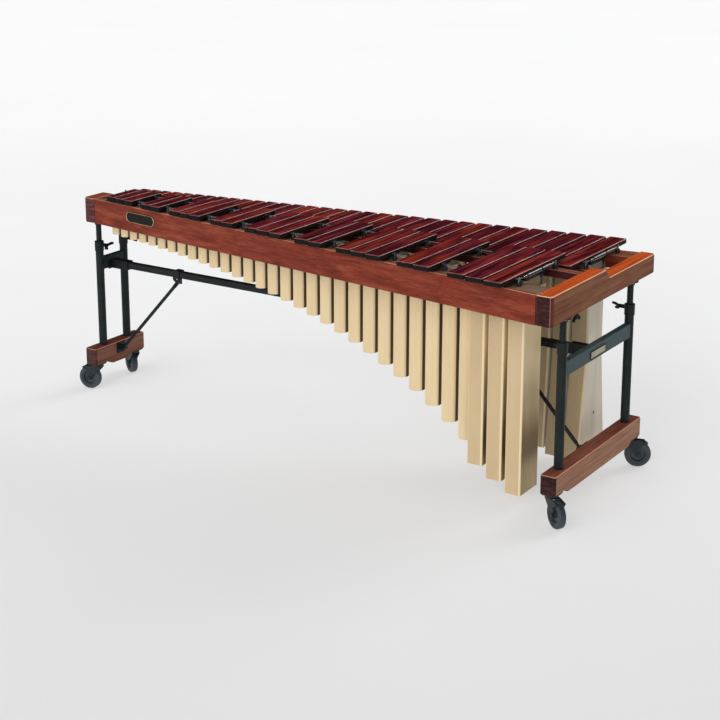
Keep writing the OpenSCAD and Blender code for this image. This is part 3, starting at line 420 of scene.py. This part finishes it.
# painted shade: the upright faces are far darker than the top
inner_wood = wood("inner_rail_wood", "X", tones((40, 14, 16), (66, 26, 28), (92, 42, 40)),
                  top=tones((96, 44, 36), (140, 78, 62), (170, 106, 86)), rough=0.42, seed=17.0)
foot_wood = wood("foot_wood", "Y", tones((112, 74, 56), (158, 114, 90), (178, 136, 110)),
                 top=tones((84, 38, 30), (130, 72, 58), (152, 96, 78)), end=tones((30, 18, 18), (52, 34, 33), (74, 50, 46)),
                 rough=0.4, spec=0.04, seed=13.0, wrap=(0.10, 0.34))
nat_wood = rosewood("natural_bar_rosewood", 0.0)
acc_wood = rosewood("accidental_bar_rosewood", 0.5)
gold = anodised("champagne_anodised", srgb(224, 202, 166), srgb(214, 190, 154), rough=0.45, metal=0.05)
# painted light and shade on the tube sides
gold_tube = anodised("champagne_anodised_tube", srgb(221, 198, 159), srgb(213, 188, 149), rough=0.45, metal=0.05,
                     painted_valley=(srgb(244, 226, 188), srgb(92, 66, 32)))
# painted light and shade on the box flanks, painted highlights on their folded corners, painted shade at the mouths
gold_box = anodised("champagne_anodised_box", srgb(198, 175, 140), srgb(189, 165, 129), rough=0.45, metal=0.05,
                    painted_fold_highlights=[slot_x(30 + j) + (pitch(29 + j) - 0.0135) / 2 - 0.003 for j in range(3)],
                    painted_flank=(srgb(196, 176, 134), srgb(172, 152, 110)), painted_drift=(srgb(240, 216, 170), srgb(118, 100, 70)))
# painted shade: the flared boxes' fronts are darker for the shade of the front row; painted light and shade on their
# flanks, painted highlights on their folded corners, painted shade at the mouths
gold_flare = anodised("champagne_anodised_flare", srgb(178, 159, 127), srgb(164, 144, 112), rough=0.45, metal=0.05,
                      painted_fold_highlights=[slot_x(30 + j) + pitch(30 + j) - 0.0135 / 2 - 0.003 for j in range(3)],
                      painted_flank=(srgb(228, 218, 200), srgb(210, 200, 180)))
stopper = anodised("plain_aluminium", srgb(170, 168, 162), srgb(150, 148, 144))
black = painted("black_powder_coat", srgb(13, 21, 22), rough=0.4, spec=0.2)
slate = painted("slate_powder_coat", srgb(44, 62, 66), rough=0.42, spec=0.15)
blackscrew = painted("black_screw", srgb(8, 10, 11), rough=0.42, spec=0.04)
# painted shade: a darker copy of the slate coat, for the treble crossbeam
slate_painted_shade = painted("slate_powder_coat_painted_shade", srgb(26, 38, 41), rough=0.42, spec=0.12)
caster_black = painted("caster_enamel", srgb(26, 34, 38), rough=0.38)
steel = plated("bright_post_steel", srgb(176, 188, 206))
zinc = plated("zinc_screw", srgb(150, 152, 156), 0.3)
brass = plated("dull_brass", srgb(170, 164, 140), 0.34)
badge = moulded("badge_enamel", srgb(20, 16, 13), 0.3, 300, 0.1, 0.12)
bead_brass = plated("bead_brass", srgb(214, 196, 150), 0.3)
rubber = moulded("grommet_rubber", srgb(20, 25, 28), 0.22, 420, 0.08, 0.95)
tyre = moulded("tyre_rubber", srgb(40, 52, 60), 0.55, 500, 0.3)
hub = moulded("hub_plastic", srgb(38, 50, 57), 0.42)
pedal = moulded("pedal_plastic", srgb(28, 36, 40), 0.45)
cord = braided("suspension_cord", srgb(58, 60, 66), srgb(96, 98, 104))

by_node = {
    "treble_end_block": treble_block_wood, "bass_end_block": block_wood, "front_board": front_wood,
    "accidental_outer_rail": rail_wood, "accidental_inner_rail": inner_wood, "natural_inner_rail": inner_wood,
    "natural_outer_rail": front_wood, "accidental_bars": acc_wood, "natural_bars": nat_wood,
    "accidental_cords": cord, "natural_cords": cord, "accidental_cord_posts": steel, "natural_cord_posts": steel,
    "post_grommets": rubber, "box_mouth_trim": rubber, "treble_crossbeam": slate_painted_shade, "bank_brackets": blackscrew, "bass_crossbeam": slate, "accidental_tubes": gold_tube, "accidental_bass_boxes": gold_box,
    "natural_tubes": gold_tube, "natural_bass_boxes": gold_flare, "tuning_stoppers": stopper,
    "accidental_bank_frame": gold, "natural_bank_frame": gold, "flange_screws": zinc, "front_badge": badge,
    "crossbeam_plate": brass, "treble_foot": treble_foot_wood, "bass_foot": foot_wood, "caster_plates": caster_black,
}
for name, ob in N.items():
    m = by_node.get(name)
    if m is None:
        if name.startswith("caster_tyre"):
            m = tyre
        elif name.startswith("caster_hub"):
            m = hub
        elif name.startswith("caster_brake"):
            m = pedal
        elif name.startswith("caster_"):
            m = caster_black
        elif name.startswith("wing_"):
            m = blackscrew
        else:
            m = black
    if not ob.material_slots:
        ob.data.materials.append(m)
    for s in ob.material_slots:
        s.material = m

# ------------------------------------------------------------------ bars with eased edges, tuning arch and cord holes
GAP_HI, GAP_LO = 0.009, 0.0105
BAR_T, NAT_TOP, ACC_TOP, NODE_F, CORD_R = 0.0195, 0.865, 0.900, 0.224, 0.002
BAR_T_HI = 0.025
AN_F, AN_R = (-0.1437, -0.4886), (0.0148, 0.0376)
NN_F, NN_R = (-0.005, -0.0133), (0.1616, 0.5055)


def has_acc(i):
    return 0 <= i <= 31 and i % 7 not in (0, 4)


def nat_w(i):
    return pitch(i) - (GAP_HI + (GAP_LO - GAP_HI) * i / 32)


def bar_mesh(bm, x, w, y0, y1, top, share):
    """One bar: a plank whose underside follows the tuning arch, with every outer edge eased."""
    length = y1 - y0
    depth = 0.0025 + 0.009 * share
    chord = 0.5 * length
    rad = (chord * chord / 4 + depth * depth) / (2 * depth)
    mid = (y0 + y1) / 2
    steps = 20
    ys = [y0] + [mid - chord / 2 + chord * k / steps for k in range(steps + 1)] + [y1]
    zb = top - (BAR_T_HI + (BAR_T - BAR_T_HI) * share)
    prof = []
    for y in ys:
        z = zb
        if abs(y - mid) < chord / 2 - 1e-6:
            z = zb + depth - rad + math.sqrt(rad * rad - (y - mid) ** 2)
        prof.append((y, z))
    rows = []
    for sx in (-w / 2, w / 2):
        rows.append([bm.verts.new((x + sx, y, z)) for y, z in prof] + [bm.verts.new((x + sx, y1, top)), bm.verts.new((x + sx, y0, top))])
    n = len(rows[0])
    bm.faces.new(rows[0])
    bm.faces.new(list(reversed(rows[1])))
    sharp = []
    for k in range(n):
        j = (k + 1) % n
        bm.faces.new((rows[0][j], rows[0][k], rows[1][k], rows[1][j]))
    for r in rows:
        for k in range(n):
            sharp.append(bm.edges.get((r[k], r[(k + 1) % n])))
    for k in (0, n - 3, n - 2, n - 1):
        sharp.append(bm.edges.get((rows[0][k], rows[1][k])))
    bmesh.ops.bevel(bm, geom=sharp, offset=0.0036, offset_type="OFFSET", segments=4, profile=0.5, affect="EDGES", clamp_overlap=False)


def solid(name, bm, mats):
    bmesh.ops.recalc_face_normals(bm, faces=bm.faces)
    me = bpy.data.meshes.new(name)
    bm.to_mesh(me)
    bm.free()
    for m in mats:
        me.materials.append(m)
    ob = bpy.data.objects.new(name, me)
    scene.collection.objects.link(ob)
    return ob


def rod(bm, a, b, r, sides=20):
    """Round bar from a to b, used to drill the cord holes."""
    a, b = Vector(a), Vector(b)
    q = (b - a).to_track_quat("Z", "Y")
    ring = [[bm.verts.new(p + q @ Vector((r * math.cos(2 * math.pi * k / sides), r * math.sin(2 * math.pi * k / sides), 0)))
             for k in range(sides)] for p in (a, b)]
    for k in range(sides):
        j = (k + 1) % sides
        bm.faces.new((ring[0][k], ring[0][j], ring[1][j], ring[1][k]))
    bm.faces.new(list(reversed(ring[0])))
    bm.faces.new(ring[1])


def bar_row(name, node, bars, lf, lr, top, mat):
    bm = bmesh.new()
    for x, w, share in bars:
        bar_mesh(bm, x, w, line(*lf, x), line(*lr, x), top, share)
    ob = solid(name, bm, [mat])
    db = bmesh.new()
    for t in (NODE_F, 1 - NODE_F):
        a = tuple(lf[k] + (lr[k] - lf[k]) * t for k in (0, 1))
        rod(db, (-1.14, line(*a, -1.14), top - BAR_T / 2), (1.10, line(*a, 1.10), top - BAR_T / 2), CORD_R + 0.0005)
    drill = solid("drill", db, [])
    mod = ob.modifiers.new("holes", "BOOLEAN")
    mod.operation = "DIFFERENCE"
    mod.solver = "EXACT"
    mod.object = drill
    dg = bpy.context.evaluated_depsgraph_get()
    me = bpy.data.meshes.new_from_object(ob.evaluated_get(dg), depsgraph=dg)
    ob.modifiers.clear()
    old = ob.data
    ob.data = me
    bpy.data.meshes.remove(old)
    dm = drill.data
    bpy.data.objects.remove(drill)
    bpy.data.meshes.remove(dm)
    for p in ob.data.polygons:
        p.use_smooth = True
    wn = ob.modifiers.new("normals", "WEIGHTED_NORMAL")
    wn.keep_sharp = False
    wn.weight = 90
    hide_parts(node)
    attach(ob, "upper_frame")
    return ob


bar_row("accidental_bars_eased", "accidental_bars",
        [(slot_x(i + 1), (nat_w(i) + nat_w(min(i + 1, 32))) / 2, i / 32) for i in range(1, 32) if has_acc(i)], AN_F, AN_R, ACC_TOP, acc_wood)
bar_row("natural_bars_eased", "natural_bars",
        [(slot_x(i) + pitch(i) / 2, nat_w(i), i / 32) for i in range(33)], NN_F, NN_R, NAT_TOP, nat_wood)

# ------------------------------------------------------------------ eased edges on the CAD pieces


def ease(name, width, segments=2, angle=40):
    ob = N.get(name)
    if ob is None:
        return
    w = ob.modifiers.new("weld", "WELD")
    w.merge_threshold = 0.00002
    d = ob.modifiers.new("flat", "DECIMATE")
    d.decimate_type = "DISSOLVE"
    d.angle_limit = math.radians(0.6)
    b = ob.modifiers.new("ease", "BEVEL")
    b.width = width
    b.segments = segments
    b.limit_method = "ANGLE"
    b.angle_limit = math.radians(angle)
    b.use_clamp_overlap = True
    n = ob.modifiers.new("normals", "WEIGHTED_NORMAL")
    n.keep_sharp = False
    n.weight = 80


for n_, w_ in (("treble_end_block", 0.006), ("bass_end_block", 0.006), ("front_board", 0.004), ("accidental_outer_rail", 0.0015),
               ("accidental_inner_rail", 0.002), ("natural_inner_rail", 0.002), ("natural_outer_rail", 0.002),
               ("accidental_bass_boxes", 0.0008), ("natural_bass_boxes", 0.0008),
               ("box_mouth_trim", 0.0034), ("treble_crossbeam", 0.003), ("bass_crossbeam", 0.003), ("stretcher", 0.003),
               ("treble_foot", 0.005), ("bass_foot", 0.005), ("crossbeam_plate", 0.0006), ("front_badge", 0.0008)):
    ease(n_, w_, 3)

# ------------------------------------------------------------------ small trim


def bead(name, loop, out, r, mat, body):
    """Round bead laid along a closed loop on a face whose normal is out."""
    bm = bmesh.new()
    n, sides = len(loop), 10
    rings = []
    for k, p in enumerate(loop):
        t = (loop[(k + 1) % n] - loop[k - 1]).normalized()
        side = t.cross(out).normalized()
        rings.append([bm.verts.new(p + side * (r * math.cos(2 * math.pi * j / sides)) + out * (r * math.sin(2 * math.pi * j / sides)))
                      for j in range(sides)])
    for k in range(n):
        a, b = rings[k], rings[(k + 1) % n]
        for j in range(sides):
            i = (j + 1) % sides
            bm.faces.new((a[j], a[i], b[i], b[j]))
    ob = solid(name, bm, [mat])
    for f in ob.data.polygons:
        f.use_smooth = True
    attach(ob, body)


def button(name, spots, out, r, mat, body):
    """Button-head screws with a socket, turned about out."""
    bm = bmesh.new()
    q = out.to_track_quat("Z", "Y")
    prof = [(1.0, -0.2), (1.0, 0.16), (0.94, 0.28), (0.74, 0.42), (0.46, 0.48), (0.42, 0.44), (0.40, 0.18)]
    sides = 24
    for c in spots:
        rings = [[bm.verts.new(c + q @ Vector((r * a * math.cos(2 * math.pi * j / sides), r * a * math.sin(2 * math.pi * j / sides), r * h)))
                  for j in range(sides)] for a, h in prof]
        for u, v in zip(rings, rings[1:]):
            for j in range(sides):
                i = (j + 1) % sides
                bm.faces.new((u[j], u[i], v[i], v[j]))
        bm.faces.new(rings[-1])
        bm.faces.new(list(reversed(rings[0])))
    ob = solid(name, bm, [mat])
    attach(ob, body)


SL = math.atan((-0.441 + 0.133) / (2 * X_IN))
b_out = Vector((math.sin(SL), -math.cos(SL), 0))
b_u = Vector((math.cos(SL), math.sin(SL), 0))
b_c = Vector((-0.848, line(-0.133, -0.441, -0.848), 0.826)) + b_out * 0.0026
loop = []
for s_, a0 in ((1, -90), (-1, 90)):
    for k in range(25):
        a = math.radians(a0 + 180 * k / 24)
        loop.append(b_c + b_u * (s_ * 0.065 + 0.0206 * math.cos(a)) + Vector((0, 0, 0.0206 * math.sin(a))))
bead("badge_bead", loop, b_out, 0.0016, bead_brass, "upper_frame")

p_out = Vector((1, 0, 0))
loop = []
for sy, sz, a0 in ((1, 1, 0), (-1, 1, 90), (-1, -1, 180), (1, -1, 270)):
    for k in range(7):
        a = math.radians(a0 + 15 * k)
        loop.append(Vector((1.1868, -0.014 + sy * 0.0585 + 0.0045 * math.cos(a), 0.562 + sz * 0.0085 + 0.0045 * math.sin(a))))
bead("plate_bead", loop, p_out, 0.0017, blackscrew, "stand")
button("plate_screws", [Vector((1.1875, -0.014 + sy * 0.055, 0.562)) for sy in (-1, 1)], p_out, 0.0026, zinc, "stand")
button("box_tuning_screw", [Vector((slot_x(33) - 0.0135 / 2, 0.242, 0.225))], p_out, 0.0052, zinc, "upper_frame")

# ------------------------------------------------------------------ stage: floor and light
floor = bpy.data.objects.new("floor", bpy.data.meshes.new("floor"))
bm = bmesh.new()
bmesh.ops.create_grid(bm, x_segments=2, y_segments=2, size=60)
bm.to_mesh(floor.data)
bm.free()
scene.collection.objects.link(floor)
F = Mat("studio_floor")
fn = F.noise(F.mapping((0.6, 0.6, 0.6)), 1.0, 3, 0.5)
fp = F.sep(F.co())
# the sweep is a little lighter toward the far side
along = F.math("ADD", F.math("MULTIPLY", fp[0], -0.545), F.math("MULTIPLY", fp[1], 0.839))
tone = F.ramp(F.remap(along, -3.0, 9.0, 0, 1), [(0.0, (0.76, 0.76, 0.76)), (0.36, (0.91, 0.91, 0.915)), (1.0, (1.0, 1.0, 1.0))])
floor.data.materials.append(F.set(color=F.mix(F.remap(fn, 0.3, 0.7, 0.47, 0.5), tone, (0, 0, 0)), rough=0.9, spec=0.05))
F.put(F.b.inputs["Emission Color"], tone)
F.b.inputs["Emission Strength"].default_value = 0.535

world = bpy.data.worlds.new("studio")
scene.world = world
world.use_nodes = True
bg = world.node_tree.nodes["Background"]
bg.inputs[0].default_value = (0.95, 0.97, 1.0, 1)
bg.inputs[1].default_value = 0.48
# the room itself is dark behind the lamps: gloss shows the lamps and the floor only
world.cycles_visibility.glossy = False


def sun(name, toward, strength, angle, color=(1, 1, 1)):
    d = bpy.data.lights.new(name, "SUN")
    d.energy = strength
    d.angle = math.radians(angle)
    d.color = color
    o = bpy.data.objects.new(name, d)
    scene.collection.objects.link(o)
    o.location = Vector(toward) * 6
    o.rotation_euler = Vector(toward).to_track_quat("Z", "Y").to_euler()
    return o


def softbox(name, pos, aim, size, power, color=(1, 1, 1)):
    d = bpy.data.lights.new(name, "AREA")
    d.shape = "RECTANGLE"
    d.size, d.size_y = size
    d.energy = power
    d.color = color
    o = bpy.data.objects.new(name, d)
    scene.collection.objects.link(o)
    o.location = pos
    o.rotation_euler = (Vector(aim) - Vector(pos)).to_track_quat("-Z", "Y").to_euler()
    return o


sun("key", (-0.12, -0.85, 0.44), 1.25, 50, (1.0, 0.985, 0.96))
sun("front", (0.20, -0.96, 0.14), 1.0, 44, (1.0, 0.985, 0.96))
sun("rear", (0.29, 0.80, 0.52), 0.9, 26, (1.0, 0.985, 0.96))
softbox("strip_right", (4.6, -2.9, 0.9), (0.9, -0.3, 0.6), (0.5, 1.7), 5, (1.0, 0.98, 0.96))
low = softbox("strip_low", (2.70, -1.42, 0.30), (1.2, -0.44, 0.82), (0.10, 0.55), 0.9, (1.0, 0.98, 0.96))
low.visible_camera = False
# a highlight only, no pool of light on the floor
low.visible_diffuse = False

scene.view_settings.view_transform = "Standard"
scene.view_settings.look = "None"
scene.view_settings.exposure = 0.0
